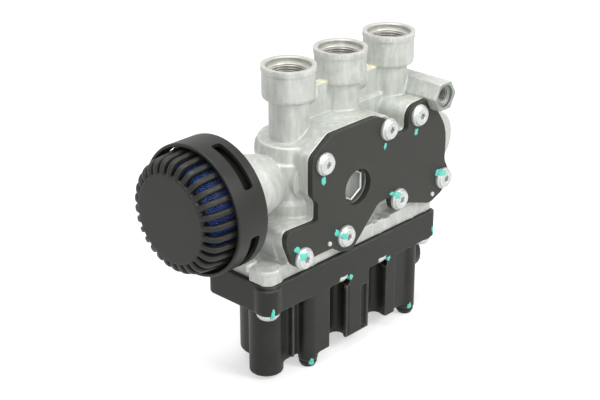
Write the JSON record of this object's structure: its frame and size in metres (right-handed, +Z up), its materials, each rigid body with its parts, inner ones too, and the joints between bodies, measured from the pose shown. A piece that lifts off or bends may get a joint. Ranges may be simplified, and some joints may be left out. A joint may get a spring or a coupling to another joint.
{
  "type": "pneumatic solenoid valve",
  "caption": "Pneumatic valve block with threaded ports on top, a cover plate in front, a solenoid housing below and a slatted exhaust silencer at the end.",
  "frame": {"origin": "bottom centre of the overall box, at the level of the column screws' heads, midway between the silencer's disc and the side boss", "axes": "+X along the port row away from the silencer, +Y from the cover plate to the rear pads, +Z up out of the ports"},
  "size_m": [0.2216, 0.079, 0.189],
  "materials": {
    "cast_alloy": "bead-blasted die casting",
    "black_coat": "semi-gloss black coat",
    "black_plastic": "fine-grained glass-filled nylon",
    "zinc": "bright zinc",
    "black_steel": "black zinc",
    "seal_rubber": "matt",
    "steel": "turned",
    "copper": "enamelled copper wire",
    "bobbin_plastic": "natural",
    "contact": "tinned",
    "mesh_blue": "knitted thread",
    "orange_rubber": "matt"
  },
  "bodies": {
    "block": {"valve_body": "cast_alloy", "cover_plate": "black_coat", "cover_gasket": "seal_rubber", "cover_screws": "zinc", "locating_pins": "zinc", "bore_plug": "steel", "plug_seal": "seal_rubber", "check_spring": "steel", "piston_spring_left": "steel", "piston_spring_middle": "steel", "piston_spring_right": "steel", "solenoid_housing": "black_plastic", "housing_seal": "seal_rubber", "flange_screws": "zinc", "column_screws": "black_steel", "connector_seal": "orange_rubber", "contact_pins": "contact", "can_left": "steel", "can_middle": "steel", "can_right": "steel", "bobbin_left": "bobbin_plastic", "bobbin_middle": "bobbin_plastic", "bobbin_right": "bobbin_plastic", "winding_left": "copper", "winding_middle": "copper", "winding_right": "copper", "guide_tube_left": "steel", "guide_tube_middle": "steel", "guide_tube_right": "steel", "fixed_core_left": "steel", "fixed_core_middle": "steel", "fixed_core_right": "steel", "armature_spring_left": "steel", "armature_spring_middle": "steel", "armature_spring_right": "steel", "silencer_shroud": "black_plastic", "silencer_basket": "black_plastic", "silencer_mesh": "mesh_blue", "neck_seal": "seal_rubber"},
    "piston_left_unit": {"piston_left": "steel", "piston_seals_left": "seal_rubber"},
    "armature_left_unit": {"armature_left": "steel", "seat_seal_left": "seal_rubber"},
    "piston_middle_unit": {"piston_middle": "steel", "piston_seals_middle": "seal_rubber"},
    "armature_middle_unit": {"armature_middle": "steel", "seat_seal_middle": "seal_rubber"},
    "piston_right_unit": {"piston_right": "steel", "piston_seals_right": "seal_rubber"},
    "armature_right_unit": {"armature_right": "steel", "seat_seal_right": "seal_rubber"},
    "check_unit": {"check_valve": "seal_rubber"}
  },
  "joints": [
    {"name": "piston_left_slide", "type": "slide", "parent": "block", "child": "piston_left_unit", "axis": [0, 1, 0], "range_m": [0, 0.004], "stiffness_N_per_m": 900, "springref_m": -0.004, "deforming": ["piston_spring_left"]},
    {"name": "armature_left_slide", "type": "slide", "parent": "block", "child": "armature_left_unit", "axis": [0, 0, 1], "range_m": [-0.0012, 0], "stiffness_N_per_m": 1500, "springref_m": 0.002, "deforming": ["armature_spring_left"]},
    {"name": "piston_middle_slide", "type": "slide", "parent": "block", "child": "piston_middle_unit", "axis": [0, 1, 0], "range_m": [0, 0.004], "stiffness_N_per_m": 900, "springref_m": -0.004, "deforming": ["piston_spring_middle"]},
    {"name": "armature_middle_slide", "type": "slide", "parent": "block", "child": "armature_middle_unit", "axis": [0, 0, 1], "range_m": [-0.0012, 0], "stiffness_N_per_m": 1500, "springref_m": 0.002, "deforming": ["armature_spring_middle"]},
    {"name": "piston_right_slide", "type": "slide", "parent": "block", "child": "piston_right_unit", "axis": [0, 1, 0], "range_m": [0, 0.004], "stiffness_N_per_m": 900, "springref_m": -0.004, "deforming": ["piston_spring_right"]},
    {"name": "armature_right_slide", "type": "slide", "parent": "block", "child": "armature_right_unit", "axis": [0, 0, 1], "range_m": [-0.0012, 0], "stiffness_N_per_m": 1500, "springref_m": 0.002, "deforming": ["armature_spring_right"]},
    {"name": "check_slide", "type": "slide", "parent": "block", "child": "check_unit", "axis": [0, 1, 0], "range_m": [-0.003, 0], "stiffness_N_per_m": 300, "springref_m": 0.004, "deforming": ["check_spring"]}
  ]
}
